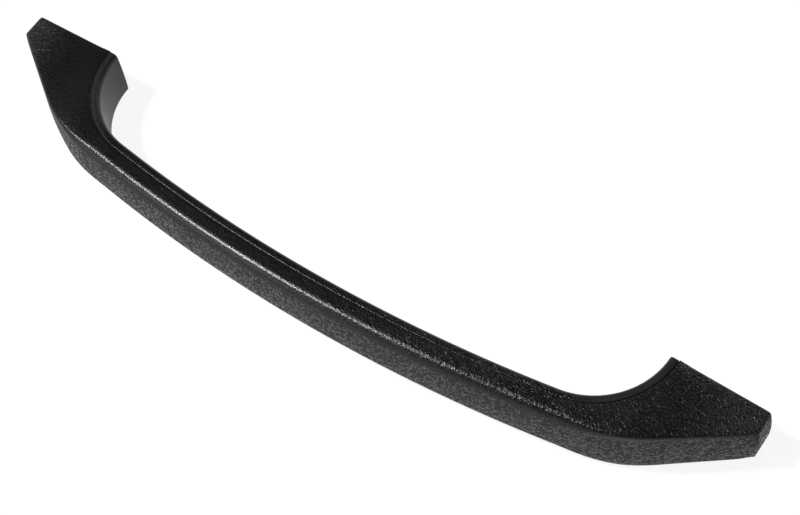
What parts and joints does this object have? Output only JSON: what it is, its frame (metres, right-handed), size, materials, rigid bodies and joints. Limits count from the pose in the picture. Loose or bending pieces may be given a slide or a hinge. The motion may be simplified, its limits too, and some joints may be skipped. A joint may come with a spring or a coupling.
{
  "type": "door pull handle",
  "caption": "Fixed bow-shaped interior pull handle for a car door, grained black, with a hollow foot and a slanted screw bore at each end.",
  "frame": {"origin": "middle of the handle's bounding box in X and Y, at the underside (z = 0)", "axes": "X along the handle, +Y towards the door it is screwed to, -Y towards the hand, +Z across the bar, away from the side where the screw bores open"},
  "size_m": [0.274, 0.042, 0.02],
  "materials": {
    "cover": "leather-grained",
    "liner": "satin, grained on the bar and smooth in the feet",
    "insert": "moulded, fine scratches",
    "block": "moulded, scuffed",
    "sleeve": "drawn steel",
    "steel": "plain"
  },
  "bodies": {
    "root": {"outer_cover": "cover", "inner_liner": "liner", "core_strip": "steel", "liner_pin_1": "steel", "liner_pin_2": "steel", "liner_pin_3": "steel", "liner_pin_4": "steel", "foot_insert_left": "insert", "foot_block_left": "block", "bore_sleeve_left": "sleeve", "core_rivet_left_1": "steel", "core_rivet_left_2": "steel", "foot_insert_right": "insert", "foot_block_right": "block", "bore_sleeve_right": "sleeve", "core_rivet_right_1": "steel", "core_rivet_right_2": "steel"}
  },
  "joints": []
}
